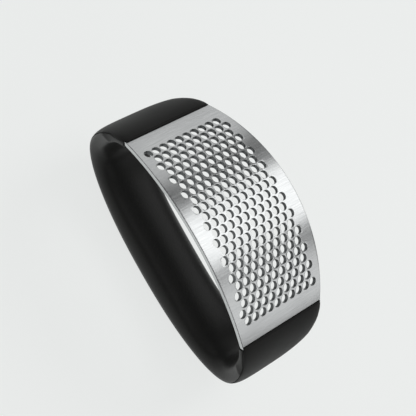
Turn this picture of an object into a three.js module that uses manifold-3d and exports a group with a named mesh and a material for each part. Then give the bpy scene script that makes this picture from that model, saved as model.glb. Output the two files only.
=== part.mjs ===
// Rocker garlic press: a curved, perforated steel plate held by a moulded loop handle.
//
// Frame, in millimetres: +X runs along the loop, from one end of the plate to the other,
// +Y runs across the plate, and +Z points up, from the palm side of the grip to the plate's
// crown. The origin is under the middle of the grip, on the flat that the press rests on.
import * as THREE from 'three';
import { mergeVertices } from 'three/addons/utils/BufferGeometryUtils.js';
import Module from 'manifold-3d';

// ---- Driving dimensions, in millimetres ----

const clearance = 0.3; // left between pieces that touch

const press = {
  height: 63.2, // from the palm rest to the plate's crown
  halfLength: 54.7, // from the middle to the outermost point of an end cap
};

const sheet = {
  radius: 73.5, // the pressing face, across the rocking direction
  thickness: 1.5,
  middleHalfWidth: 26.2,
  endHalfWidth: 21.6,
  bulgePower: 2, // how the long edges bow out towards the middle
};

const perforation = {
  pitch: 4, // between hole centres in a row
  bridge: 0.7, // steel left between neighbouring holes
  endMargin: 7.5, // plain steel at each end of the pattern, at least
  sideMargin: 0.9, // plain steel beside the pattern, at least
  sides: 8,
};

const tongue = {
  inset: 5.6, // from the plate's corner to the tongue's side
  length: 6,
  bend: 15, // degrees, down from the slope of the plate's end
  corner: 1.5,
  relief: 0.8, // notch at each root, so that the bend doesn't tear
  pegSpacing: 18, // between the two locating pegs
  pegDiameter: 2.8,
  pegSides: 12,
};

const cap = {
  reach: 12.4, // from the lip on the plate to the outermost point
  lipHeight: 0.9, // how far the lip stands proud of the plate
  lipBevel: 0.8,
  lipOverlap: 1, // how much of the plate's end the lip hides
  wall: 1.3,
  tuck: 1.6, // how much the shoulder draws in from the lip, on each side
  shoulderDrop: 11.4, // from the lip down to the height where the end cap starts to taper
  squareness: 5, // superellipse exponent of the section
  squarePower: 1.3, // how that exponent grows from the grip to the end caps
  fullness: 0.62, // how far the outline reaches into the corner between lip and end wall
};

const loop = {
  endWall: 9.1, // through the end of the loop, from outside to the finger opening
  widestDrop: 26.2, // from the lips down to the outermost points
  openingDrop: 13.4, // from the lips down to the widest part of the finger opening
  outsidePower: 2.28, // superellipse exponents of the two outlines, seen from the side
  insidePower: 3.88,
  ledgeReach: 3, // how far the frame reaches under the plate's end
  ledgeThickness: 0.9,
};

const grip = {
  thickness: 16,
  halfWidth: 12.2,
  roundness: 2.25, // superellipse exponent of the section
  taperPower: 1.38, // how the width grows from the grip to the end caps
  restCut: 0.8, // depth of the flat on the palm side
  wall: 2.4, // of the hollow frame
  hollowRoundness: 2, // an ellipse, so that the side walls thicken towards the palm cover
  coverWall: 2.4,
};

const rib = { thickness: 1.6, spacing: 26 }; // across the hollow grip

const stationsPerSide = 18; // sections from a lip to the middle of the grip
const sectionPoints = 24;
const outlineSteps = 60; // along each curve that the stations are spaced on
const beyond = 120; // outside everything

// ---- Worked out from them ----

const crownAxis = press.height - sheet.radius; // height of the axis that the plate curves about
const lipX = press.halfLength - cap.reach;
const lipArc = sheet.radius * Math.asin(lipX / sheet.radius);
const lipZ = crownAxis + sheet.radius * Math.cos(lipArc / sheet.radius);
const lipHalfWidth = sheet.endHalfWidth + clearance;
const plateArc = lipArc + cap.lipOverlap;
const seamZ = lipZ - loop.widestDrop; // between the end caps and the palm cover
const holeDiameter = perforation.pitch - perforation.bridge;
const rowSpacing = perforation.pitch * Math.sqrt(3) / 2;
const tongueHalfWidth = sheet.endHalfWidth - tongue.inset;
const tongueBend = THREE.MathUtils.degToRad(tongue.bend);
const bendLoss = sheet.thickness * Math.tan(tongueBend / 2); // how much shorter the back is

// ---- Plane geometry: points are (x, z) ----

const point = (x, z) => new THREE.Vector2(x, z);
const blend = (a, b, t) => a.clone().lerp(b, t);
const mirrored = (line) => line.map((p) => point(-p.x, p.y)).reverse();
const onArc = (arc, depth = 0) => {
  const angle = arc / sheet.radius;
  const r = sheet.radius - depth;
  return point(r * Math.sin(angle), crownAxis + r * Math.cos(angle));
};

// A line moved to its right-hand side by a distance, with mitred corners.
function offsetLine(line, distance) {
  const normals = line.slice(1).map((p, i) => {
    const d = p.clone().sub(line[i]).normalize();
    return point(d.y, -d.x);
  });
  return line.map((p, i) => {
    const before = normals[Math.max(i - 1, 0)];
    const after = normals[Math.min(i, normals.length - 1)];
    const mitre = before.clone().add(after).normalize();
    return p.clone().addScaledVector(mitre, distance / mitre.dot(after));
  });
}

// Equally spaced points along a line.
function evenly(line, count) {
  const curve = new THREE.CurvePath();
  line.slice(1).forEach((p, i) => curve.add(new THREE.LineCurve(line[i], p)));
  return Array.from({ length: count }, (_, i) => curve.getPointAt(i / (count - 1)));
}

// Half of an outline of the loop: a rounded end cap, then a superellipse quarter to x = 0.
function halfOutline(start, startArc, widest, bottom, power) {
  const slope = Math.tan(startArc / sheet.radius);
  const corner = point(widest.x, start.y - slope * (widest.x - start.x));
  const bend = new THREE.CubicBezierCurve(
    start, blend(start, corner, cap.fullness), blend(widest, corner, cap.fullness), widest);
  const quarter = Array.from({ length: outlineSteps }, (_, i) => {
    const angle = (i + 1) / outlineSteps * Math.PI / 2;
    const x = i + 1 === outlineSteps ? 0 : widest.x * Math.cos(angle) ** (2 / power);
    return point(x, widest.y - (widest.y - bottom) * Math.sin(angle) ** (2 / power));
  });
  return evenly([...bend.getPoints(outlineSteps), ...quarter], stationsPerSide);
}

const rectangle = (x0, z0, x1, z1) => [point(x0, z0), point(x1, z0), point(x1, z1), point(x0, z1)];

// ---- Solids ----

const wasm = await Module();
wasm.setup();

function solid(positions, index) {
  const bare = new THREE.BufferGeometry();
  bare.setAttribute('position', new THREE.Float32BufferAttribute(positions, 3));
  if (index) bare.setIndex([...index]);
  const merged = mergeVertices(bare, 1e-4);
  return new wasm.Manifold(new wasm.Mesh({
    numProp: 3,
    vertProperties: new Float32Array(merged.attributes.position.array),
    triVerts: new Uint32Array(merged.index.array),
  }));
}

const solidOf = ({ attributes, index }) => solid(attributes.position.array, index?.array);

function geometryOf(manifold) {
  const mesh = manifold.getMesh();
  const geometry = new THREE.BufferGeometry();
  geometry.setAttribute('position', new THREE.BufferAttribute(mesh.vertProperties, 3));
  geometry.setIndex(new THREE.BufferAttribute(mesh.triVerts, 1));
  geometry.computeVertexNormals();
  return geometry;
}

// A side-view outline, extruded across the press.
function slab(outline, halfWidth = beyond) {
  const shape = new THREE.Shape(outline);
  const geometry = new THREE.ExtrudeGeometry(shape, { depth: 2 * halfWidth, bevelEnabled: false });
  geometry.rotateX(Math.PI / 2);
  geometry.translate(0, halfWidth, 0);
  return solidOf(geometry);
}

// A closed body through a row of superellipse sections.
function loft(sections) {
  const positions = sections.flatMap(({ inner, outer, halfWidth, power }) => {
    const middle = blend(inner, outer, 0.5);
    return Array.from({ length: sectionPoints }, (_, i) => {
      const angle = i / sectionPoints * 2 * Math.PI;
      const [across, through] = [Math.cos(angle), Math.sin(angle)]
        .map((v) => Math.sign(v) * Math.abs(v) ** (2 / power));
      const p = blend(middle, outer, through);
      return [p.x, across * halfWidth, p.y];
    }).flat();
  });
  const faces = [];
  const last = (sections.length - 1) * sectionPoints;
  for (let i = 0; i < sectionPoints; i += 1) {
    const next = (i + 1) % sectionPoints;
    for (let row = 0; row < last; row += sectionPoints) {
      faces.push(row + i, row + sectionPoints + next, row + next);
      faces.push(row + i, row + sectionPoints + i, row + sectionPoints + next);
    }
    if (i > 0 && next > 0) {
      faces.push(0, i, next);
      faces.push(last, last + next, last + i);
    }
  }
  return solid(positions, faces);
}

// ---- The loop's sections, from the lip at -X round to the lip at +X ----

function loopSections() {
  const ledgeArc = lipArc - loop.ledgeReach;
  const outerStart = onArc(lipArc + cap.lipBevel, -cap.lipHeight);
  const innerStart = onArc(ledgeArc, sheet.thickness + clearance + loop.ledgeThickness);
  const outer = halfOutline(
    outerStart, lipArc, point(press.halfLength, seamZ), -grip.restCut, loop.outsidePower);
  const inner = halfOutline(
    innerStart, ledgeArc, point(press.halfLength - loop.endWall, lipZ - loop.openingDrop),
    grip.thickness, loop.insidePower);
  const low = (grip.thickness - grip.restCut) / 2;
  const shoulder = lipZ - cap.shoulderDrop;
  const high = (outerStart.y + innerStart.y) / 2;
  const { clamp, lerp, smoothstep } = THREE.MathUtils;
  const half = outer.map((p, i) => {
    const z = (p.y + inner[i].y) / 2;
    const taper = clamp((z - low) / (shoulder - low), 0, 1) ** grip.taperPower;
    const skin = lerp(grip.coverWall, cap.wall, taper);
    return {
      outer: p,
      inner: inner[i],
      seam: blend(p, inner[i], (skin + clearance) / p.distanceTo(inner[i])),
      halfWidth: lerp(grip.halfWidth, lipHalfWidth - cap.tuck, taper)
        + cap.tuck * smoothstep(z, shoulder, high),
      power: lerp(grip.roundness, cap.squareness, taper ** cap.squarePower),
    };
  });
  const otherHalf = half.slice(0, -1).map((section) => ({
    ...section,
    outer: point(-section.outer.x, section.outer.y),
    inner: point(-section.inner.x, section.inner.y),
    seam: point(-section.seam.x, section.seam.y),
  }));
  return [...otherHalf, ...half.reverse()];
}

// ---- The plate ----

// The pressing face in side view, from one tongue's tip to the other's, as flat strips.
function plateLine() {
  const rows = Math.floor((plateArc - perforation.endMargin) / rowSpacing);
  const arcs = Array.from({ length: rows + 1 }, (_, i) => i * rowSpacing);
  arcs.push((arcs[rows] + plateArc) / 2, plateArc);
  const end = onArc(plateArc);
  const down = plateArc / sheet.radius + tongueBend;
  const along = point(Math.cos(down), -Math.sin(down));
  const tip = end.clone().addScaledVector(along, tongue.length);
  const half = [...arcs.map((arc) => onArc(arc)), tip];
  return {
    rows: 2 * rows,
    plainStrips: 2,
    arcs: [...arcs.slice(1).map((a) => -a).reverse(), ...arcs],
    line: [...mirrored(half.slice(1)), ...half],
    end,
    along,
    tip,
  };
}

const plate = plateLine();

function edgeHalfWidth(arc) {
  const bulge = 1 - Math.abs(arc / plateArc) ** sheet.bulgePower;
  return sheet.endHalfWidth + (sheet.middleHalfWidth - sheet.endHalfWidth) * bulge;
}

// On the developed sheet, points are (across, along).
function roundHole(across, along, radius, sides) {
  return Array.from({ length: sides }, (_, i) => {
    const angle = (i + 0.5) / sides * 2 * Math.PI;
    return point(across + radius * Math.cos(angle), along + radius * Math.sin(angle));
  });
}

// One row of holes. Each row is staggered by half a pitch against the next.
function rowHoles(row, length) {
  const { pitch, sideMargin, sides } = perforation;
  const room = 2 * (sheet.endHalfWidth - sideMargin) - holeDiameter - pitch / 2;
  const last = Math.floor(room / pitch);
  const shift = (row % 2 ? 1 : -1) * pitch / 4;
  return Array.from({ length: last + 1 }, (_, i) => roundHole(
    (i - last / 2) * pitch + shift, length / 2, holeDiameter / 2, sides));
}

// The outline and holes of each strip, with along from 0 to the strip's length.
function plateStrips() {
  const lengths = plate.line.slice(1).map((p, i) => p.distanceTo(plate.line[i]));
  const final = lengths.length - 1;
  return lengths.map((length, i) => {
    if (i === 0) return tongueStrip(length);
    if (i === final) return flipped(tongueStrip(length), length);
    const [a, b] = [edgeHalfWidth(plate.arcs[i - 1]), edgeHalfWidth(plate.arcs[i])];
    const low = i === 1 ? rootEdge(a, 0, 1) : [point(-a, 0), point(a, 0)];
    const high = i === final - 1 ? rootEdge(b, length, -1) : [point(-b, length), point(b, length)];
    const row = i - 1 - plate.plainStrips;
    const holed = row >= 0 && row < plate.rows;
    return {
      length,
      outline: [...low, ...high.reverse()],
      holes: holed ? rowHoles(row, length) : [],
    };
  });
}

// The plate's end where a tongue leaves it, with a relief notch at each side of the tongue.
function rootEdge(halfWidth, along, inward) {
  const notch = along + inward * tongue.relief;
  const notchEnd = tongueHalfWidth + tongue.relief;
  const side = [
    point(tongueHalfWidth, along), point(tongueHalfWidth, notch),
    point(notchEnd, notch), point(notchEnd, along), point(halfWidth, along),
  ];
  return [...mirrored(side), ...side];
}

// The tongue at -X: its tip is at along = 0 and its root is at the strip's far edge.
function tongueStrip(length) {
  const [w, c] = [tongueHalfWidth, tongue.corner];
  const flatToFlat = tongue.pegDiameter + 2 * (clearance + bendLoss);
  const radius = flatToFlat / 2 / Math.cos(Math.PI / tongue.pegSides);
  return {
    length,
    outline: [point(c - w, 0), point(w - c, 0), point(w, c), point(w, length),
      point(-w, length), point(-w, c)],
    holes: [-1, 1].map((side) => roundHole(
      side * tongue.pegSpacing / 2, length / 2, radius, tongue.pegSides)),
  };
}

function flipped(strip, length) {
  const turn = (loopPoints) => loopPoints.map((p) => point(p.x, length - p.y)).reverse();
  return { length, outline: turn(strip.outline), holes: strip.holes.map(turn) };
}

// The sheet as a closed body. Neighbouring strips share the corners on the bend between them,
// and the back repeats the pressing face's triangles the other way round.
function sheetBody() {
  const [face, back] = [plate.line, offsetLine(plate.line, sheet.thickness)];
  const numbers = new Map();
  const [facePlaces, backPlaces] = [[], []];
  const triangles = plateStrips().flatMap(({ length, outline, holes }, strip) => {
    const corners = [...outline, ...holes.flat()].map((p) => {
      const share = p.y / length;
      const key = `${p.x.toFixed(3)} ${(strip + share).toFixed(3)}`;
      if (!numbers.has(key)) {
        numbers.set(key, numbers.size);
        const [f, b] = [face, back].map((line) => blend(line[strip], line[strip + 1], share));
        facePlaces.push(f.x, p.x, f.y);
        backPlaces.push(b.x, p.x, b.y);
      }
      return numbers.get(key);
    });
    return THREE.ShapeUtils.triangulateShape(outline, holes)
      .map((triangle) => triangle.map((i) => corners[i]).reverse());
  });
  const toBack = (i) => i + numbers.size;
  const index = triangles.flatMap(([a, b, c]) => [a, b, c, toBack(c), toBack(b), toBack(a)]);
  for (const [a, b] of rims(triangles)) {
    index.push(b, a, toBack(a), b, toBack(a), toBack(b));
  }
  return solid([...facePlaces, ...backPlaces], index);
}

// The edges that only one triangle has: the sheet's outline and the holes.
function rims(triangles) {
  const edges = triangles.flatMap(([a, b, c]) => [[a, b], [b, c], [c, a]]);
  const known = new Set(edges.map(([a, b]) => `${a} ${b}`));
  return edges.filter(([a, b]) => !known.has(`${b} ${a}`));
}

// ---- The handle ----

// Half of the frame's outer boundary, from under a lip: along the plate's pressing face and
// its tongue, then at the thickness of the outer mouldings inside the loop's outline.
function seamHalf(sections) {
  const overPlate = [lipArc - 2 * loop.ledgeReach, lipArc, plateArc].map((arc) => onArc(-arc));
  const tip = point(-plate.tip.x, plate.tip.y);
  const below = sections.slice(0, stationsPerSide)
    .map(({ seam }) => seam)
    .filter((p) => p.y < tip.y - tongue.length / 4);
  return [...overPlate, tip, ...below];
}

function handleParts() {
  const sections = loopSections();
  const whole = loft(sections).intersect(slab(rectangle(-beyond, 0, beyond, beyond)));

  const left = seamHalf(sections);
  const seam = [...left, ...mirrored(left).slice(1)];
  const lid = offsetLine(seam, clearance);
  const insideSeam = slab([...seam, point(seam.at(-1).x, beyond), point(seam[0].x, beyond)]);
  const outsideSeam = slab([
    point(lid[0].x, beyond), point(-beyond, beyond), point(-beyond, -beyond),
    point(beyond, -beyond), point(beyond, beyond), point(lid.at(-1).x, beyond),
    ...lid.reverse(),
  ]);

  const frame = whole.intersect(insideSeam).subtract(platePocket()).subtract(hollow(sections));
  const outerSkin = whole.intersect(outsideSeam);
  const above = slab(rectangle(-beyond, seamZ + clearance / 2, beyond, beyond));
  const under = slab(rectangle(-beyond, -beyond, beyond, seamZ - clearance / 2));
  const side = (sign) => slab(rectangle(0, -beyond, sign * beyond, beyond));
  return {
    frame: pegs().reduce((body, peg) => body.add(peg), frame),
    leftCap: outerSkin.intersect(above).intersect(side(-1)),
    rightCap: outerSkin.intersect(above).intersect(side(1)),
    palmCover: outerSkin.intersect(under),
  };
}

// The space inside the grip, open towards the palm cover, less the ribs across it.
function hollow(sections) {
  const core = sections
    .filter(({ outer }) => outer.y < seamZ - 2 * grip.wall)
    .map(({ inner, outer, halfWidth }) => ({
      inner: blend(inner, outer, grip.wall / inner.distanceTo(outer)),
      outer,
      halfWidth: halfWidth - grip.wall,
      power: grip.hollowRoundness,
    }));
  const ribs = [-1, 0, 1].map((i) => slab(rectangle(
    i * rib.spacing - rib.thickness / 2, -beyond, i * rib.spacing + rib.thickness / 2, beyond)));
  return ribs.reduce((body, plane) => body.subtract(plane), loft(core));
}

// Room for the plate's ends and its tongues, with clearance under them and round them.
function platePocket() {
  const depth = sheet.thickness + clearance;
  const reach = plateArc + clearance + bendLoss;
  const bed = offsetLine([onArc(-reach), ...plate.line.slice(2, -2), onArc(reach)], depth);
  const over = slab([...bed, onArc(reach, -depth), point(0, beyond), onArc(-reach, -depth)]);
  const face = [
    plate.end.clone().addScaledVector(plate.along, -clearance),
    plate.tip.clone().addScaledVector(plate.along, clearance),
  ];
  const slot = [...offsetLine(face, depth), ...offsetLine(face, -depth).reverse()];
  const width = tongueHalfWidth + clearance;
  return over.add(slab(slot, width)).add(slab(mirrored(slot), width));
}

// Moulded pegs that stand on the frame and locate the tongues.
function pegs() {
  const inward = point(plate.along.y, -plate.along.x);
  const height = sheet.thickness + 2 * clearance;
  const foot = blend(plate.end, plate.tip, 0.5).addScaledVector(inward, height / 2);
  const tilt = Math.atan2(-inward.x, -inward.y);
  const radius = tongue.pegDiameter / 2;
  return [-1, 1].flatMap((end) => [-1, 1].map((side) => {
    const pin = new THREE.CylinderGeometry(radius, radius, height, tongue.pegSides);
    pin.rotateX(Math.PI / 2);
    pin.rotateY(end * tilt);
    pin.translate(end * foot.x, side * tongue.pegSpacing / 2, foot.y);
    return solidOf(pin);
  }));
}

// ---- The assembly ----

const steel = { color: '#b9bbbc', roughness: 0.35, metalness: 1 };
const blackMoulding = { color: '#1b1c1d', roughness: 0.5, metalness: 0 };

function piece(name, body, finish) {
  const mesh = new THREE.Mesh(geometryOf(body), new THREE.MeshStandardMaterial(finish));
  mesh.name = name;
  return mesh;
}

const parts = handleParts();
const garlicPress = new THREE.Group();
garlicPress.add(
  piece('press_plate', sheetBody(), steel),
  piece('handle_frame', parts.frame, blackMoulding),
  piece('palm_cover', parts.palmCover, blackMoulding),
  piece('end_cap_left', parts.leftCap, blackMoulding),
  piece('end_cap_right', parts.rightCap, blackMoulding),
);

export default garlicPress;
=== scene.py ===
"""Rocker garlic press: a perforated steel plate across a moulded black loop handle.

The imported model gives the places. This script builds the fine surfaces round it, dresses them
and sets up the studio. All lengths are in metres.
"""

import logging
import math
from dataclasses import dataclass, field, replace
from enum import Enum
from typing import Sequence

import bmesh
import bpy
import numpy as np
from mathutils import Matrix, Vector


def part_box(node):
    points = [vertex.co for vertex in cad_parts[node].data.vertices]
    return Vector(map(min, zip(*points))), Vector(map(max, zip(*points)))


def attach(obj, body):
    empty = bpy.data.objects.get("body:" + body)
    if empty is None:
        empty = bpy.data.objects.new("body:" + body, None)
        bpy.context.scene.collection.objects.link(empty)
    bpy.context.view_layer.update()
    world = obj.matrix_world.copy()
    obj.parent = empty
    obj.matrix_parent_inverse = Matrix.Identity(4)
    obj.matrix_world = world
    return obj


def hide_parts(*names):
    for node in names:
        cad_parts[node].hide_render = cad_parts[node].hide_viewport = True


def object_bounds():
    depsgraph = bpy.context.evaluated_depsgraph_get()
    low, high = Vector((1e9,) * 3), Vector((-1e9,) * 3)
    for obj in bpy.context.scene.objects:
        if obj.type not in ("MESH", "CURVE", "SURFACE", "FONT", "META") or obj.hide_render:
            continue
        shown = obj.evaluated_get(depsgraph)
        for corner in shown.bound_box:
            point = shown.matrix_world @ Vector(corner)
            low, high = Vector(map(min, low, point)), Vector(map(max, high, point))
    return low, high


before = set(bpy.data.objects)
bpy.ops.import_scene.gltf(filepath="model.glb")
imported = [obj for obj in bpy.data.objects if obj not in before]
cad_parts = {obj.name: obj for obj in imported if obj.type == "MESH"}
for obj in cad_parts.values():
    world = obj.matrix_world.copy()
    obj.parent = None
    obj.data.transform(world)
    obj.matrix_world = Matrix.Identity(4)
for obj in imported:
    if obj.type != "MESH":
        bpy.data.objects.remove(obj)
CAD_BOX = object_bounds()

MM = 0.001
BEYOND = 200 * MM  # outside everything
CLEARANCE = 0.3 * MM  # between the plate and the mouldings
SEAM = 0.2 * MM  # between mouldings

log = logging.getLogger("garlic_press")


# ---- Meshes ----


class Cut(Enum):
    """What a boolean does with its tool."""

    KEEP = "INTERSECT"
    REMOVE = "DIFFERENCE"


def mesh_object(name: str, points: Sequence[Sequence[float]],
                faces: Sequence[Sequence[int]]) -> bpy.types.Object:
    """Makes a mesh object and links it to the scene.

    Args:
        name: the object's name.
        points: corners in metres.
        faces: lists of corner numbers, anticlockwise seen from outside.

    Returns:
        The new object.
    """
    mesh = bpy.data.meshes.new(name)
    mesh.from_pydata([tuple(map(float, point)) for point in points], [],
                     [list(map(int, face)) for face in faces])
    mesh.validate()
    made = bpy.data.objects.new(name, mesh)
    bpy.context.scene.collection.objects.link(made)
    return made


def closed_body(name: str, points: Sequence[Sequence[float]],
                faces: Sequence[Sequence[int]]) -> bpy.types.Object:
    """Makes a closed mesh object whose faces all look outwards, whichever way they were given.

    Args:
        name: the object's name.
        points: corners in metres.
        faces: lists of corner numbers.

    Returns:
        The new object.
    """
    made = mesh_object(name, points, faces)
    mesh = bmesh.new()
    mesh.from_mesh(made.data)
    bmesh.ops.recalc_face_normals(mesh, faces=mesh.faces)
    mesh.to_mesh(made.data)
    mesh.free()
    return made


def prism(outline: np.ndarray, half_width: float = BEYOND) -> bpy.types.Object:
    """Extrudes a side-view outline across the press.

    Args:
        outline: rows of (x, z).
        half_width: how far it reaches to each side.

    Returns:
        A closed body.
    """
    count = len(outline)
    near = [(x, -half_width, z) for x, z in outline]
    far = [(x, half_width, z) for x, z in outline]
    sides = [(i, (i + 1) % count, count + (i + 1) % count, count + i) for i in range(count)]
    return closed_body("tool", near + far, [range(count), range(count, 2 * count), *sides])


def combine(body: bpy.types.Object, tool: bpy.types.Object, cut: Cut) -> bpy.types.Object:
    """Cuts or trims a body with a tool, which is then removed.

    Args:
        body: the body that changes.
        tool: a closed body.
        cut: what to do with it.

    Returns:
        The changed body.
    """
    modifier = body.modifiers.new("combine", "BOOLEAN")
    modifier.object = tool
    modifier.operation = cut.value
    modifier.solver = "MANIFOLD"
    bpy.context.view_layer.update()
    evaluated = body.evaluated_get(bpy.context.evaluated_depsgraph_get())
    result = bpy.data.meshes.new_from_object(evaluated)
    body.modifiers.clear()
    body.data = result
    bpy.data.objects.remove(tool)
    return body


def copy_of(body: bpy.types.Object, name: str) -> bpy.types.Object:
    """A separate copy of a body, with a mesh of its own.

    Args:
        body: what is copied.
        name: the copy's name.

    Returns:
        The copy.
    """
    made = bpy.data.objects.new(name, body.data.copy())
    bpy.context.scene.collection.objects.link(made)
    return made


def smooth(body: bpy.types.Object, sharp_degrees: float) -> None:
    """Shades a body smooth, except where two faces meet at more than an angle."""
    body.data.shade_smooth()
    body.data.set_sharp_from_angle(angle=math.radians(sharp_degrees))


# ---- Plane geometry: rows of (x, z) ----


def mirrored(line: np.ndarray) -> np.ndarray:
    """A line mirrored in x, and run the other way."""
    return (line * (-1, 1))[::-1]


def evenly(line: np.ndarray, count: int) -> np.ndarray:
    """Equally spaced points along a line.

    Args:
        line: rows of (x, z) or of (x, y, z).
        count: how many points.

    Returns:
        The points, with the line's own ends first and last.
    """
    walked = np.concatenate([[0], np.cumsum(np.linalg.norm(np.diff(line, axis=0), axis=1))])
    at = np.linspace(0, walked[-1], count)
    return np.stack([np.interp(at, walked, line[:, k]) for k in range(line.shape[1])], 1)


def offset_line(line: np.ndarray, distance: float) -> np.ndarray:
    """A line moved to its right-hand side, with mitred corners.

    Args:
        line: rows of (x, z).
        distance: how far.

    Returns:
        The moved line, point for point.
    """
    ahead = np.diff(line, axis=0)
    ahead /= np.linalg.norm(ahead, axis=1)[:, None]
    normals = np.stack([ahead[:, 1], -ahead[:, 0]], 1)
    before = normals[np.maximum(np.arange(len(line)) - 1, 0)]
    after = normals[np.minimum(np.arange(len(line)), len(normals) - 1)]
    mitre = before + after
    mitre /= np.linalg.norm(mitre, axis=1)[:, None]
    return line + mitre * (distance / np.sum(mitre * after, axis=1))[:, None]


def smoothstep(value: float, low: float, high: float) -> float:
    """Rises smoothly from 0 at low to 1 at high."""
    t = min(max((value - low) / (high - low), 0), 1)
    return t * t * (3 - 2 * t)


# ---- Materials ----


def linear(hex_colour: str) -> tuple[float, float, float, float]:
    """Turns an sRGB hex colour into a linear one.

    Args:
        hex_colour: such as "1c1d1d".

    Returns:
        Red, green, blue and an alpha of 1.
    """
    channels = [int(hex_colour[i:i + 2], 16) / 255 for i in (0, 2, 4)]
    return (*[c / 12.92 if c <= 0.04045 else ((c + 0.055) / 1.055) ** 2.4 for c in channels], 1.0)


def add_node(tree: bpy.types.NodeTree, kind: str, settings: dict | None = None,
             **inputs: object) -> bpy.types.Node:
    """Adds a node with its settings and inputs.

    Args:
        tree: the tree it goes in.
        kind: the node's type, such as "ShaderNodeTexNoise".
        settings: attributes of the node.
        **inputs: a value or an output socket for each input, by its name with _ for a space, or
            by its identifier where a name comes twice.

    Returns:
        The node.
    """
    node = tree.nodes.new(kind)
    for name, value in (settings or {}).items():
        setattr(node, name, value)
    for name, value in inputs.items():
        socket = next(s for s in node.inputs
                      if s.enabled and name in (s.name.replace(" ", "_"), s.identifier))
        if isinstance(value, bpy.types.NodeSocket):
            tree.links.new(value, socket)
        else:
            socket.default_value = value
    return node


def new_material(name: str) -> tuple[bpy.types.Material, bpy.types.NodeTree]:
    """An empty node material and its tree.

    Args:
        name: the material's name.

    Returns:
        The material and its tree.
    """
    material = bpy.data.materials.new(name)
    material.use_nodes = True
    material.node_tree.nodes.clear()
    return material, material.node_tree


def finish_material(tree: bpy.types.NodeTree, shader: bpy.types.Node) -> None:
    """Links a shader to the material's output."""
    add_node(tree, "ShaderNodeOutputMaterial", Surface=shader.outputs[0])


MIXED_COLOUR = 2  # number of a Mix node's colour output


@dataclass(frozen=True)
class BrushedStainless:
    """Stainless steel sheet, brushed across the plate with a fine belt before it was rolled.

    The eye sees pale grey steel. Its reflections spread along the curve, because the brush
    lines run across it, so that the studio shows as soft bands from edge to edge.
    """

    light: str = "d2d4d4"
    dark: str = "a3a5a6"
    roughness: float = 0.2
    roughness_spread: float = 0.08
    anisotropy: float = 0.5
    line_pitch: float = 0.45 * MM  # real belt lines are finer, but wouldn't show
    line_length: float = 11 * MM
    line_depth: float = 0.0016 * MM
    cloud_width: float = 18 * MM  # of soft patches of tone
    cloud_share: float = 0.35

    def build(self) -> bpy.types.Material:
        """Makes the material.

        Returns:
            The material.
        """
        material, tree = new_material("brushed_stainless_steel")
        places = add_node(tree, "ShaderNodeTexCoord").outputs["Object"]
        stretch = (1 / self.line_pitch, 1 / self.line_length, 1 / self.line_pitch)
        along = add_node(tree, "ShaderNodeMapping", Vector=places, Scale=stretch)
        lines = add_node(tree, "ShaderNodeTexNoise", Vector=along.outputs[0], Scale=1.0,
                         Detail=3.0)
        cloud = add_node(tree, "ShaderNodeTexNoise", Vector=places, Scale=1 / self.cloud_width,
                         Detail=2.0)
        mixed = add_node(tree, "ShaderNodeMath", {"operation": "MULTIPLY_ADD"},
                         Value=cloud.outputs["Fac"], Value_001=self.cloud_share,
                         Value_002=lines.outputs["Fac"])
        shade = add_node(tree, "ShaderNodeMix", {"data_type": "RGBA"}, Factor=mixed.outputs[0],
                         A=linear(self.dark), B=linear(self.light))
        rough = add_node(tree, "ShaderNodeMapRange", Value=lines.outputs["Fac"],
                         To_Min=self.roughness, To_Max=self.roughness + self.roughness_spread)
        bump = add_node(tree, "ShaderNodeBump", Height=lines.outputs["Fac"],
                        Distance=self.line_depth, Strength=1.0)
        tangent = add_node(tree, "ShaderNodeTangent", {"direction_type": "RADIAL", "axis": "Y"})
        shader = add_node(
            tree, "ShaderNodeBsdfPrincipled", Base_Color=shade.outputs[MIXED_COLOUR],
            Metallic=1.0, Roughness=rough.outputs[0], Anisotropic=self.anisotropy,
            Normal=bump.outputs[0], Tangent=tangent.outputs[0])
        finish_material(tree, shader)
        return material


@dataclass(frozen=True)
class ShearedStainlessWithPaintedShade:
    """The walls of punched holes in stainless steel sheet.

    The eye sees duller and darker steel than the brushed face. The walls are scored by the punch
    and rougher, and their darker colour is painted shade, standing for the shade inside the holes.
    """

    # darker than the steel's own colour: painted shade inside the holes
    colour: str = "67696a"
    roughness: float = 0.45
    score_pitch: float = 0.4 * MM
    score_depth: float = 0.02 * MM

    def build(self) -> bpy.types.Material:
        """Makes the material.

        Returns:
            The material.
        """
        material, tree = new_material("sheared_stainless_steel")
        places = add_node(tree, "ShaderNodeTexCoord").outputs["Object"]
        scores = add_node(tree, "ShaderNodeTexNoise", Vector=places, Scale=1 / self.score_pitch,
                          Detail=2.0)
        bump = add_node(tree, "ShaderNodeBump", Height=scores.outputs["Fac"],
                        Distance=self.score_depth)
        shader = add_node(tree, "ShaderNodeBsdfPrincipled", Base_Color=linear(self.colour),
                          Metallic=1.0, Roughness=self.roughness, Normal=bump.outputs[0])
        finish_material(tree, shader)
        return material


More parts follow.
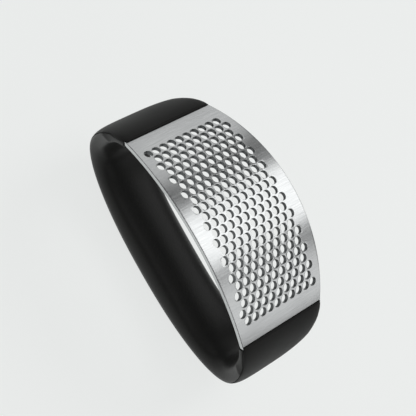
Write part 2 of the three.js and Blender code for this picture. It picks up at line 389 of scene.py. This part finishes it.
@dataclass(frozen=True)
class MouldedBlackPlastic:
    """Black polypropylene, injection moulded in a finely spark-eroded tool.

    The eye sees a deep black with a broad, soft sheen, and a faint grain where light grazes it.
    """

    colour: str = "212120"
    worn: str = "272726"
    ior: float = 1.49
    shine: float = 0.18  # a fine grain scatters most of the clear reflection
    roughness: float = 0.34
    roughness_spread: float = 0.1
    cloud_width: float = 14 * MM  # of soft patches of tone
    grain: float = 0.5 * MM  # the tool's texture is finer, but wouldn't show
    grain_depth: float = 0.045 * MM
    edge_radius: float = 0.35 * MM
    edge_samples: int = 4

    def build(self) -> bpy.types.Material:
        """Makes the material.

        Returns:
            The material.
        """
        material, tree = new_material("moulded_black_polypropylene")
        places = add_node(tree, "ShaderNodeTexCoord").outputs["Object"]
        grain = add_node(tree, "ShaderNodeTexNoise", Vector=places, Scale=1 / self.grain,
                         Detail=2.0)
        cloud = add_node(tree, "ShaderNodeTexNoise", Vector=places, Scale=1 / self.cloud_width,
                         Detail=3.0)
        shade = add_node(tree, "ShaderNodeMix", {"data_type": "RGBA"},
                         Factor=cloud.outputs["Fac"], A=linear(self.colour), B=linear(self.worn))
        rough = add_node(tree, "ShaderNodeMapRange", Value=cloud.outputs["Fac"],
                         To_Min=self.roughness, To_Max=self.roughness + self.roughness_spread)
        rounded = add_node(tree, "ShaderNodeBevel", {"samples": self.edge_samples},
                           Radius=self.edge_radius)
        bump = add_node(tree, "ShaderNodeBump", Height=grain.outputs["Fac"],
                        Distance=self.grain_depth, Strength=1.0, Normal=rounded.outputs[0])
        shader = add_node(
            tree, "ShaderNodeBsdfPrincipled", Base_Color=shade.outputs[MIXED_COLOUR],
            Roughness=rough.outputs[0], IOR=self.ior, Specular_IOR_Level=self.shine,
            Normal=bump.outputs[0])
        finish_material(tree, shader)
        return material


@dataclass(frozen=True)
class GrainedBlackPlastic(MouldedBlackPlastic):
    """The same polypropylene from a tool that was eroded deeper, on the outside of the loop.

    The eye sees the same black with a flatter and wider sheen.
    """

    shine: float = 0.15
    roughness: float = 0.48
    roughness_spread: float = 0.16


@dataclass(frozen=True)
class LitAcrylic:
    """Opal acrylic sheet, cast with a satin face and lit from below.

    The eye sees an even, pale table on which the press throws hardly any shadow.
    """

    colour: str = "7c7e7d"
    light: str = "e9ebea"
    glow: float = 0.89
    roughness: float = 0.55

    def build(self) -> bpy.types.Material:
        """Makes the material.

        Returns:
            The material.
        """
        material, tree = new_material("lit_opal_acrylic")
        shader = add_node(
            tree, "ShaderNodeBsdfPrincipled", Base_Color=linear(self.colour),
            Roughness=self.roughness, Emission_Color=linear(self.light),
            Emission_Strength=self.glow)
        finish_material(tree, shader)
        return material


# ---- The plate ----


@dataclass
class PressPlate:
    """The perforated sheet, rolled to a cylinder about an axis that runs across the press."""

    radius: float = 73.5 * MM
    thickness: float = 1.5 * MM
    end_half_width: float = 21.6 * MM
    end_arc: float = 46.1 * MM  # from the crown, round the curve, to where a tongue starts
    pitch: float = 4 * MM
    hole_diameter: float = 3.3 * MM
    rows: int = 22
    holes_per_row: int = 10
    hole_edge: float = 0.06 * MM  # rounding that punching leaves
    outline_edge: float = 0.22 * MM  # rounding of the deburred outline
    tongue_half_width: float = 16 * MM
    tongue_length: float = 6 * MM
    tongue_corner: float = 1.5 * MM
    tongue_bend: float = math.radians(15)
    steps: int = 8  # corners along each side of a hole's cell
    margin_columns: int = 8
    sharp_degrees: float = 40  # a steeper fold between faces is an edge
    crown: float = field(init=False)
    middle_half_width: float = field(init=False)

    def __post_init__(self) -> None:
        """Takes the plate's place and width from the frame."""
        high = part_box("press_plate")[1]
        self.crown = high.z
        self.middle_half_width = high.y

    @property
    def row_spacing(self) -> float:
        """Between rows of a regular staggered pattern."""
        return self.pitch * math.sqrt(3) / 2

    @property
    def end_angle(self) -> float:
        """From the crown to the plate's end."""
        return self.end_arc / self.radius

    def on_arc(self, arc: float, depth: float = 0.0) -> np.ndarray:
        """A point of the curve in side view.

        Args:
            arc: along the sheet from the crown, with a sign.
            depth: from the pressing face towards the back.

        Returns:
            Its (x, z).
        """
        angle = arc / self.radius
        reach = self.radius - depth
        return np.array([reach * math.sin(angle),
                         self.crown - self.radius + reach * math.cos(angle)])

    def side_point(self, arc: float, depth: float) -> np.ndarray:
        """A point in side view that also follows the tongues, past the plate's ends.

        Args:
            arc: along the sheet from the crown, with a sign.
            depth: from the pressing face towards the back.

        Returns:
            Its (x, z).
        """
        if abs(arc) <= self.end_arc:
            return self.on_arc(arc, depth)
        sign = math.copysign(1, arc)
        slope = self.end_angle + self.tongue_bend
        ahead = np.array([math.cos(slope), -math.sin(slope)])
        inward = np.array([-math.sin(slope), -math.cos(slope)])
        point = self.on_arc(self.end_arc) + ahead * (abs(arc) - self.end_arc) + inward * depth
        return point * (sign, 1)

    def edge(self, arc: float) -> float:
        """Half the plate's width at an arc."""
        bulge = 1 - min(abs(arc) / self.end_arc, 1) ** 2
        return self.end_half_width + (self.middle_half_width - self.end_half_width) * bulge

    @property
    def stagger(self) -> int:
        """How many columns a row is shifted, to one side or the other by turns."""
        return self.steps // 4

    @property
    def pattern_columns(self) -> int:
        """Half the columns that the holes' cells take, with the rows' stagger."""
        return self.holes_per_row * self.steps // 2 + self.stagger

    def across(self, column: int, arc: float) -> float:
        """Where a column of corners lies, across the plate.

        Args:
            column: its number, with 0 in the middle.
            arc: along the sheet.

        Returns:
            The distance from the middle, with a sign.
        """
        step = self.pitch / self.steps
        inner = self.pattern_columns
        if abs(column) <= inner:
            return column * step
        share = (abs(column) - inner) / self.margin_columns
        rim = self.edge(arc) - self.outline_edge
        return math.copysign(inner * step + (rim - inner * step) * share, column)

    def build(self, finish: bpy.types.Material, walls: bpy.types.Material) -> bpy.types.Object:
        """Makes the plate from a flat lattice with round holes, rolled to its curve.

        Args:
            finish: its material.
            walls: the material of the holes' walls.

        Returns:
            The plate.
        """
        flat = Lattice()
        outer = self.pattern_columns + self.margin_columns
        half_rows = self.rows // 2
        for row in range(-half_rows, half_rows):
            lines = [(row + k / self.steps) * self.row_spacing for k in range(self.steps + 1)]
            shift = self.stagger * (-1 if row % 2 == half_rows % 2 else 1)
            first = shift - self.holes_per_row * self.steps // 2
            last = first + self.holes_per_row * self.steps
            for column in range(first, last, self.steps):
                self.add_cell(flat, column, lines)
            for column in [*range(-outer, first), *range(last, outer)]:
                self.add_patch(flat, column, lines)
        pattern_end = half_rows * self.row_spacing
        plain = list(np.linspace(pattern_end, self.end_arc, self.steps + 1))
        tongue = list(np.linspace(self.end_arc, self.end_arc + self.tongue_length, self.steps + 1))
        tongue_columns = round(self.tongue_half_width / (self.pitch / self.steps))
        for lines, columns in ((plain, outer), (tongue, tongue_columns)):
            for column in range(-columns, columns):
                self.add_patch(flat, column, lines)
                self.add_patch(flat, column, [-arc for arc in reversed(lines)])
        body = flat.thicken("steel_press_plate", self)
        body.data.materials.append(finish)
        body.data.materials.append(walls)
        smooth(body, self.sharp_degrees)
        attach(body, "root")
        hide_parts("press_plate")
        return body

    def add_patch(self, flat: "Lattice", column: int, lines: list[float]) -> None:
        """Adds one column of plain faces between two columns of corners.

        Args:
            flat: the lattice that gets them.
            column: number of the first column of corners.
            lines: the arcs of the corners, in order.
        """
        for low, high in zip(lines, lines[1:]):
            corners = [(column, low), (column + 1, low), (column + 1, high), (column, high)]
            flat.faces.append([flat.corner(self.across(c, arc) * self.tip_taper(arc), arc)
                               for c, arc in corners])

    def tip_taper(self, arc: float) -> float:
        """How much a tongue draws in towards its tip."""
        past = abs(arc) - (self.end_arc + self.tongue_length - self.tongue_corner)
        return 1 - max(past, 0) / self.tongue_half_width

    def add_cell(self, flat: "Lattice", column: int, lines: list[float]) -> None:
        """Adds the ring of faces between one hole and the edges of its cell.

        Args:
            flat: the lattice that gets them.
            column: number of the cell's first column of corners.
            lines: the arcs of the cell's corners, in order.
        """
        ends = column + self.steps
        edge = [(c, lines[0]) for c in range(column, ends)]
        edge += [(ends, arc) for arc in lines[:-1]]
        edge += [(c, lines[-1]) for c in range(ends, column, -1)]
        edge += [(column, arc) for arc in reversed(lines[1:])]
        centre = np.array([self.across(column, 0) + self.pitch / 2, (lines[0] + lines[-1]) / 2])
        radius = self.hole_diameter / 2 + self.hole_edge
        outside = [np.array([self.across(c, arc), arc]) for c, arc in edge]
        inside = [centre + (p - centre) * (radius / np.linalg.norm(p - centre)) for p in outside]
        outer_ring = [flat.corner(*p) for p in outside]
        inner_ring = [flat.corner(*p, self.hole_edge) for p in inside]
        for k in range(len(edge)):
            n = (k + 1) % len(edge)
            flat.faces.append([outer_ring[k], outer_ring[n], inner_ring[n], inner_ring[k]])


class Lattice:
    """The plate laid flat: its corners as (across, arc), and its faces."""

    GRID = 1e-7  # corners nearer than this are one
    ROUND_STEPS = 3  # faces round each rounded edge
    WALL_MATERIAL = 1  # number of the material of the holes' walls

    def __init__(self) -> None:
        """Starts empty."""
        self.numbers: dict[tuple[int, int], int] = {}
        self.points: list[tuple[float, float]] = []
        self.rounding: list[float | None] = []
        self.faces: list[list[int]] = []

    def corner(self, across: float, arc: float, rounding: float | None = None) -> int:
        """The number of the corner at a place, which is added if it is new.

        Args:
            across: from the middle of the plate, with a sign.
            arc: along the sheet from the crown, with a sign.
            rounding: radius of the rounded edge there, or None for the outline's.

        Returns:
            The corner's number.
        """
        key = (round(across / self.GRID), round(arc / self.GRID))
        if key not in self.numbers:
            self.numbers[key] = len(self.points)
            self.points.append((across, arc))
            self.rounding.append(rounding)
        return self.numbers[key]

    def thicken(self, name: str, plate: PressPlate) -> bpy.types.Object:
        """Rolls the lattice to its curve and gives it a back and rounded edges.

        Args:
            name: the object's name.
            plate: the sizes.

        Returns:
            A closed body.
        """
        count = len(self.points)
        edges = [(f[k], f[(k + 1) % len(f)]) for f in self.faces for k in range(len(f))]
        known = set(edges)
        rim = [(a, b) for a, b in edges if (b, a) not in known]
        off = self.outward(rim)
        places = [self.place(plate, n, (0, 0), 0) for n in range(count)]
        places += [self.place(plate, n, (0, 0), plate.thickness) for n in range(count)]
        rings = {}
        for n in off:
            size = self.rounding[n] or plate.outline_edge
            angles = [k / self.ROUND_STEPS * math.pi / 2 for k in range(1, self.ROUND_STEPS + 1)]
            turned = [(size * math.sin(a), size * (1 - math.cos(a))) for a in angles]
            profile = turned + [(o, plate.thickness - d) for o, d in reversed(turned)]
            rings[n] = [n, *range(len(places), len(places) + len(profile)), n + count]
            places += [self.place(plate, n, off[n] * o, d) for o, d in profile]
        faces = [f[::-1] for f in self.faces] + [[n + count for n in f] for f in self.faces]
        wall_faces = []
        for a, b in rim:
            for k in range(len(rings[a]) - 1):
                if self.rounding[a] and k == self.ROUND_STEPS:
                    wall_faces.append(len(faces))
                faces.append([rings[a][k], rings[b][k], rings[b][k + 1], rings[a][k + 1]])
        body = closed_body(name, places, faces)
        for number in wall_faces:
            body.data.polygons[number].material_index = self.WALL_MATERIAL
        return body

    def outward(self, rim: list[tuple[int, int]]) -> dict[int, np.ndarray]:
        """The direction off the sheet at each corner of its rims, mitred.

        Args:
            rim: the edges that have a face on one side only.

        Returns:
            The direction as (across, arc), by the corner's number.
        """
        found: dict[int, list[np.ndarray]] = {}
        for a, b in rim:
            along = np.subtract(self.points[b], self.points[a])
            normal = np.array([along[1], -along[0]]) / np.linalg.norm(along)
            found.setdefault(a, []).append(normal)
            found.setdefault(b, []).append(normal)
        return {n: sum(v) / (1 + float(np.dot(v[0], v[-1]))) for n, v in found.items()}

    def place(self, plate: PressPlate, n: int, off: Sequence[float],
              depth: float) -> tuple[float, float, float]:
        """Where a corner lies on the rolled plate.

        Args:
            plate: the sizes.
            n: the corner's number.
            off: how far it is moved as (across, arc).
            depth: from the pressing face towards the back.

        Returns:
            Its (x, y, z).
        """
        across, arc = self.points[n][0] + off[0], self.points[n][1] + off[1]
        x, z = plate.side_point(arc, depth)
        return x, across, z


# ---- The handle ----


@dataclass(frozen=True)
class Section:
    """A cross-section of the loop, which is a superellipse."""

    outer: np.ndarray  # (x, z) of its outermost point
    inner: np.ndarray  # (x, z) of its point at the opening
    seam: np.ndarray  # (x, z) where the frame begins, under the outer mouldings
    half_width: float
    power: float  # exponent of the superellipse: 2 is an ellipse, more is squarer

    def mirrored(self) -> "Section":
        """The section at the same place on the other end of the loop."""
        over = (-1, 1)
        return replace(self, outer=self.outer * over, inner=self.inner * over,
                       seam=self.seam * over)


@dataclass
class LoopHandle:
    """The moulded loop: a frame, a palm cover and two end caps."""

    plate: PressPlate
    lip_height: float = 0.9 * MM  # above the plate's face
    lip_bevel: float = 0.8 * MM
    lip_overlap: float = 1 * MM  # over the plate's end
    cap_wall: float = 1.3 * MM
    cap_tuck: float = 1.6 * MM  # how much narrower each side gets from a lip to its shoulder
    shoulder_drop: float = 11.4 * MM  # from a lip down to the shoulder
    squareness: float = 5.0  # exponent of the sections at the shoulder
    square_power: float = 1.3
    fullness: float = 0.62  # of the bend from a lip to the outermost point
    end_wall: float = 9.1 * MM
    widest_drop: float = 26.2 * MM  # from a lip down to the outermost point
    opening_drop: float = 13.4 * MM  # from a lip down to the opening's outermost point
    outside_power: float = 2.28  # exponent of the outline from its outermost point inwards
    inside_power: float = 3.88  # the same for the opening
    ledge_reach: float = 3 * MM
    ledge_thickness: float = 0.9 * MM
    grip_thickness: float = 16 * MM
    grip_half_width: float = 12.2 * MM
    grip_roundness: float = 2.25  # exponent of the section in the middle
    taper_power: float = 1.38
    rest_cut: float = 0.8 * MM  # taken off the palm side, so that the press stands
    cover_wall: float = 2.4 * MM
    frame_wall: float = 2.4 * MM
    hollow_roundness: float = 2.0  # exponent of the channel's sections
    rib_thickness: float = 1.6 * MM
    rib_spacing: float = 26 * MM
    seam_drop: float = 1.5 * MM  # least height of a tongue's tip above the seam's next point
    slot_start: float = 0.001 * MM  # past the plate's end, where it follows the tongue
    stations_per_side: int = 130
    section_points: int = 112
    curve_steps: int = 240  # of each part of an outline, before it is spaced evenly
    ring_steps: int = 720  # of a section, before it is spaced evenly
    lip_steps: int = 12  # of the seam under a lip
    bed_steps: int = 121  # of the room for the plate
    sharp_degrees: float = 30  # a steeper fold between faces is an edge
    half_length: float = field(init=False)
    lip_arc: float = field(init=False)
    lip: np.ndarray = field(init=False)
    seam_z: float = field(init=False)
    lip_half_width: float = field(init=False)

    def __post_init__(self) -> None:
        """Works out the lip, and takes the outermost point from the frame."""
        self.half_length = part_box("end_cap_right")[1].x
        self.lip_arc = self.plate.end_arc - self.lip_overlap
        self.lip = self.plate.on_arc(self.lip_arc)
        self.seam_z = self.lip[1] - self.widest_drop
        self.lip_half_width = self.plate.end_half_width + CLEARANCE

    def half_outline(self, start: np.ndarray, start_arc: float, widest: tuple[float, float],
                     bottom: float, power: float) -> np.ndarray:
        """Half of an outline of the loop, from a lip to the middle of the grip.

        Args:
            start: its first point.
            start_arc: where the plate has the slope that it starts with.
            widest: its outermost point.
            bottom: its height in the middle of the grip.
            power: exponent of the superellipse from the outermost point to the middle.

        Returns:
            Equally spaced points.
        """
        end = np.array(widest)
        slope = math.tan(start_arc / self.plate.radius)
        corner = np.array([end[0], start[1] - slope * (end[0] - start[0])])
        near = start + (corner - start) * self.fullness
        far = end + (corner - end) * self.fullness
        t = np.linspace(0, 1, self.curve_steps)[:, None]
        bend = ((1 - t) ** 3 * start + 3 * (1 - t) ** 2 * t * near
                + 3 * (1 - t) * t ** 2 * far + t ** 3 * end)
        angle = np.linspace(0, math.pi / 2, self.curve_steps)[1:]
        x = end[0] * np.maximum(np.cos(angle), 0) ** (2 / power)
        x[-1] = 0
        z = end[1] - (end[1] - bottom) * np.sin(angle) ** (2 / power)
        return evenly(np.concatenate([bend, np.stack([x, z], 1)]), self.stations_per_side)

    def sections(self) -> list[Section]:
        """The loop's cross-sections.

        Returns:
            The sections from the lip at -X round to the lip at +X.
        """
        plate = self.plate
        ledge_arc = self.lip_arc - self.ledge_reach
        outer_start = plate.on_arc(self.lip_arc + self.lip_bevel, -self.lip_height)
        inner_start = plate.on_arc(ledge_arc, plate.thickness + CLEARANCE + self.ledge_thickness)
        outer = self.half_outline(outer_start, self.lip_arc, (self.half_length, self.seam_z),
                                  -self.rest_cut, self.outside_power)
        opening = (self.half_length - self.end_wall, self.lip[1] - self.opening_drop)
        inner = self.half_outline(inner_start, ledge_arc, opening, self.grip_thickness,
                                  self.inside_power)
        low = (self.grip_thickness - self.rest_cut) / 2
        shoulder = self.lip[1] - self.shoulder_drop
        high = (outer_start[1] + inner_start[1]) / 2
        shoulder_width = self.lip_half_width - self.cap_tuck
        half = []
        for o, i in zip(outer, inner):
            z = (o[1] + i[1]) / 2
            taper = min(max((z - low) / (shoulder - low), 0), 1) ** self.taper_power
            skin = self.cover_wall + (self.cap_wall - self.cover_wall) * taper
            half.append(Section(
                outer=o,
                inner=i,
                seam=o + (i - o) * ((skin + SEAM) / np.linalg.norm(i - o)),
                half_width=(self.grip_half_width
                            + (shoulder_width - self.grip_half_width) * taper
                            + self.cap_tuck * smoothstep(z, shoulder, high)),
                power=(self.grip_roundness + (self.squareness - self.grip_roundness)
                       * taper ** self.square_power)))
        return [section.mirrored() for section in half[:-1]] + half[::-1]

    def section_ring(self, section: Section) -> np.ndarray:
        """Evenly spaced points round one section.

        Args:
            section: the section.

        Returns:
            Rows of (x, y, z).
        """
        angle = np.linspace(0, 2 * math.pi, self.ring_steps + 1)
        c, s = np.cos(angle), np.sin(angle)
        share = 2 / section.power
        across = np.sign(c) * np.abs(c) ** share * section.half_width
        through = np.sign(s) * np.abs(s) ** share
        middle = (section.inner + section.outer) / 2
        side = middle + (section.outer - middle) * through[:, None]
        ring = np.stack([side[:, 0], across, side[:, 1]], 1)
        return evenly(ring, self.section_points + 1)[:-1]

    def loft(self, name: str, sections: list[Section]) -> bpy.types.Object:
        """A closed body through a row of sections.

        Args:
            name: the object's name.
            sections: the sections, in order.

        Returns:
            The body.
        """
        count = self.section_points
        rings = [self.section_ring(s) for s in sections]
        faces = []
        for r in range(len(rings) - 1):
            for i in range(count):
                n = (i + 1) % count
                faces.append([r * count + i, (r + 1) * count + i, (r + 1) * count + n,
                              r * count + n])
        last = (len(rings) - 1) * count
        faces.append(list(range(count)))
        faces.append([last + i for i in reversed(range(count))])
        return closed_body(name, np.concatenate(rings), faces)

    def hollow(self, sections: list[Section]) -> bpy.types.Object:
        """The space inside the grip, open towards the palm cover, less the ribs across it.

        Args:
            sections: the sections of the whole loop.

        Returns:
            A closed body.
        """
        core = []
        for section in sections:
            inner, outer = section.inner, section.outer
            if outer[1] < self.seam_z - 2 * self.frame_wall:
                share = self.frame_wall / np.linalg.norm(outer - inner)
                core.append(replace(section, inner=inner + (outer - inner) * share,
                                    half_width=section.half_width - self.frame_wall,
                                    power=self.hollow_roundness))
        space = self.loft("hollow", core)
        half = self.rib_thickness / 2
        for x in (-self.rib_spacing, 0, self.rib_spacing):
            rib = prism(self.rectangle(x - half, -BEYOND, x + half, BEYOND))
            combine(space, rib, Cut.REMOVE)
        return space

    def seam_line(self, sections: list[Section]) -> np.ndarray:
        """The frame's outer boundary in side view.

        Args:
            sections: the sections of the whole loop.

        Returns:
            Rows of (x, z) from under one lip to under the other.
        """
        plate = self.plate
        tip_arc = plate.end_arc + plate.tongue_length
        under = np.linspace(self.lip_arc - 2 * self.ledge_reach, plate.end_arc, self.lip_steps)
        top = [plate.on_arc(-arc) for arc in under] + [plate.side_point(-tip_arc, 0)]
        limit = top[-1][1] - self.seam_drop
        below = [s.seam for s in sections[:self.stations_per_side] if s.seam[1] < limit]
        left = np.array(top + below)
        return np.concatenate([left, mirrored(left)[1:]])

    def plate_room(self) -> list[bpy.types.Object]:
        """Tool bodies that clear the frame for the plate's ends and its tongues.

        Returns:
            The room for the plate, and then for each tongue.
        """
        plate = self.plate
        depth = plate.thickness + CLEARANCE
        reach = plate.end_arc + CLEARANCE
        bed = [plate.on_arc(arc, depth) for arc in np.linspace(-reach, reach, self.bed_steps)]
        above = [plate.on_arc(reach, -depth), (0, BEYOND), plate.on_arc(-reach, -depth)]
        tools = [prism(np.array(bed + above))]
        for sign in (-1, 1):
            start = sign * (plate.end_arc + self.slot_start)
            stop = sign * (plate.end_arc + plate.tongue_length + CLEARANCE)
            slot = [plate.side_point(arc, d) for arc, d in
                    [(start, depth), (stop, depth), (stop, -depth), (start, -depth)]]
            tools.append(prism(np.array(slot), plate.tongue_half_width + CLEARANCE))
        return tools

    def build(self, inner: bpy.types.Material,
              outer: bpy.types.Material) -> list[bpy.types.Object]:
        """Makes the four mouldings.

        Args:
            inner: the frame's material.
            outer: the material of the palm cover and the end caps.

        Returns:
            The frame, the palm cover and the two end caps.
        """
        sections = self.sections()
        rest = prism(self.rectangle(-BEYOND, 0, BEYOND, BEYOND))
        whole = combine(self.loft("loop", sections), rest, Cut.KEEP)
        seam = self.seam_line(sections)
        lid = offset_line(seam, SEAM)
        inside = np.concatenate([seam, [(seam[-1][0], BEYOND), (seam[0][0], BEYOND)]])
        outside = np.concatenate([
            [(lid[0][0], BEYOND), (-BEYOND, BEYOND), (-BEYOND, -BEYOND), (BEYOND, -BEYOND),
             (BEYOND, BEYOND), (lid[-1][0], BEYOND)], lid[::-1]])
        frame_body = combine(copy_of(whole, "handle_inner_frame"), prism(inside), Cut.KEEP)
        for tool in [self.hollow(sections), *self.plate_room()]:
            combine(frame_body, tool, Cut.REMOVE)
        skin = combine(whole, prism(outside), Cut.KEEP)
        half_gap = SEAM / 2
        low = prism(self.rectangle(-BEYOND, -BEYOND, BEYOND, self.seam_z - half_gap))
        cover = combine(copy_of(skin, "moulded_palm_cover"), low, Cut.KEEP)
        pieces = {"handle_frame": frame_body, "palm_cover": cover}
        for side, x in (("left", -BEYOND), ("right", BEYOND)):
            corner = prism(self.rectangle(min(x, 0), self.seam_z + half_gap, max(x, 0), BEYOND))
            cap = combine(copy_of(skin, f"moulded_end_cap_{side}"), corner, Cut.KEEP)
            pieces[f"end_cap_{side}"] = cap
        bpy.data.objects.remove(skin)
        for node, piece in pieces.items():
            piece.data.materials.clear()
            piece.data.materials.append(inner if piece is frame_body else outer)
            smooth(piece, self.sharp_degrees)
            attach(piece, "root")
            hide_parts(node)
        return list(pieces.values())

    @staticmethod
    def rectangle(x0: float, z0: float, x1: float, z1: float) -> np.ndarray:
        """A rectangle in side view, anticlockwise."""
        return np.array([(x0, z0), (x1, z0), (x1, z1), (x0, z1)])


# ---- The studio ----


class Place(Enum):
    """Where a softbox stands, as azimuth from +Y towards +X and elevation, in degrees."""

    BACK = (1.5, 50)
    LEFT = (-49, 23)
    RIGHT = (46, 30)
    FRONT = (180, 42)
    LEFT_SIDE = (-115, 35)
    RIGHT_SIDE = (115, 35)


@dataclass(frozen=True)
class Softbox:
    """A soft rectangular light that faces the press."""

    place: Place
    width: float
    height: float
    radiance: float
    distance: float = 0.8  # from what it faces

    def build(self, target: Vector) -> bpy.types.Object:
        """Makes the light.

        Args:
            target: what it faces.

        Returns:
            The light.
        """
        azimuth, elevation = (math.radians(v) for v in self.place.value)
        toward = Vector((math.sin(azimuth) * math.cos(elevation),
                         math.cos(azimuth) * math.cos(elevation), math.sin(elevation)))
        light = bpy.data.lights.new(f"softbox_{self.place.name.lower()}", "AREA")
        light.shape = "RECTANGLE"
        light.size = self.width
        light.size_y = self.height
        light.energy = self.radiance * math.pi * self.width * self.height
        made = bpy.data.objects.new(light.name, light)
        made.location = target + toward * self.distance
        made.rotation_euler = toward.to_track_quat("Z", "Y").to_euler()
        bpy.context.scene.collection.objects.link(made)
        return made


@dataclass(frozen=True)
class Studio:
    """A pale lit table, a grey room and soft lights."""

    room: float = 0.12  # brightness of the walls
    floor_half: float = 2.5
    softboxes: tuple[Softbox, ...] = (
        Softbox(Place.BACK, width=0.44, height=0.5, radiance=1.7),
        Softbox(Place.LEFT, width=0.25, height=0.5, radiance=0.72),
        Softbox(Place.RIGHT, width=0.26, height=0.5, radiance=0.92),
        Softbox(Place.FRONT, width=0.5, height=0.4, radiance=0.72),
        Softbox(Place.LEFT_SIDE, width=0.4, height=0.4, radiance=0.7),
        Softbox(Place.RIGHT_SIDE, width=0.4, height=0.4, radiance=0.7),
    )

    def build(self, target: Vector) -> None:
        """Makes the floor, the room's light and the softboxes.

        Args:
            target: what the softboxes face.
        """
        half = self.floor_half
        floor = mesh_object("floor", [(-half, -half, 0), (half, -half, 0), (half, half, 0),
                                      (-half, half, 0)], [(0, 1, 2, 3)])
        floor.data.materials.append(LitAcrylic().build())
        world = bpy.data.worlds.new("grey_room")
        world.use_nodes = True
        background = world.node_tree.nodes["Background"]
        background.inputs["Color"].default_value = (1, 1, 1, 1)
        background.inputs["Strength"].default_value = self.room
        bpy.context.scene.world = world
        bpy.context.scene.view_settings.view_transform = "Standard"
        for softbox in self.softboxes:
            softbox.build(target)


@dataclass(frozen=True)
class Camera:
    """A long lens above the near side of the press, rolled so that the press stands on end."""

    azimuth: float = 3.19  # degrees from -Y towards +X
    elevation: float = 50.80  # degrees
    roll: float = 57.84  # degrees
    distance: float = 576.6 * MM
    aim: tuple[float, float, float] = (-8.58 * MM, 8.42 * MM, 35 * MM)
    lens: float = 131.3  # millimetres, as is the sensor
    sensor: float = 36.0

    def build(self) -> bpy.types.Object:
        """Makes the camera and gives the scene to it.

        Returns:
            The camera.
        """
        azimuth, elevation = math.radians(self.azimuth), math.radians(self.elevation)
        back = Vector((math.sin(azimuth) * math.cos(elevation),
                       -math.cos(azimuth) * math.cos(elevation), math.sin(elevation)))
        level = Vector((math.cos(azimuth), math.sin(azimuth), 0))
        upright = Matrix((level, back.cross(level), back)).transposed()
        turned = upright @ Matrix.Rotation(math.radians(self.roll), 3, "Z")
        data = bpy.data.cameras.new("camera")
        data.lens = self.lens
        data.sensor_width = self.sensor
        made = bpy.data.objects.new("camera", data)
        place = Vector(self.aim) + back * self.distance
        made.matrix_world = Matrix.Translation(place) @ turned.to_4x4()
        bpy.context.scene.collection.objects.link(made)
        bpy.context.scene.camera = made
        return made


def main() -> None:
    """Builds the press and the studio, and reports each piece."""
    logging.basicConfig(level=logging.INFO, format="%(name)s: %(message)s")
    Camera().build()
    plate = PressPlate()
    pieces = [plate.build(BrushedStainless().build(), ShearedStainlessWithPaintedShade().build())]
    pieces += LoopHandle(plate).build(MouldedBlackPlastic().build(),
                                      GrainedBlackPlastic().build())
    for piece in pieces:
        log.info("%s: %d faces, %s mm", piece.name, len(piece.data.polygons),
                 " x ".join(f"{size / MM:.1f}" for size in piece.dimensions))
    low, high = CAD_BOX
    Studio().build((Vector(low) + Vector(high)) / 2)


if __name__ == "__main__":
    main()
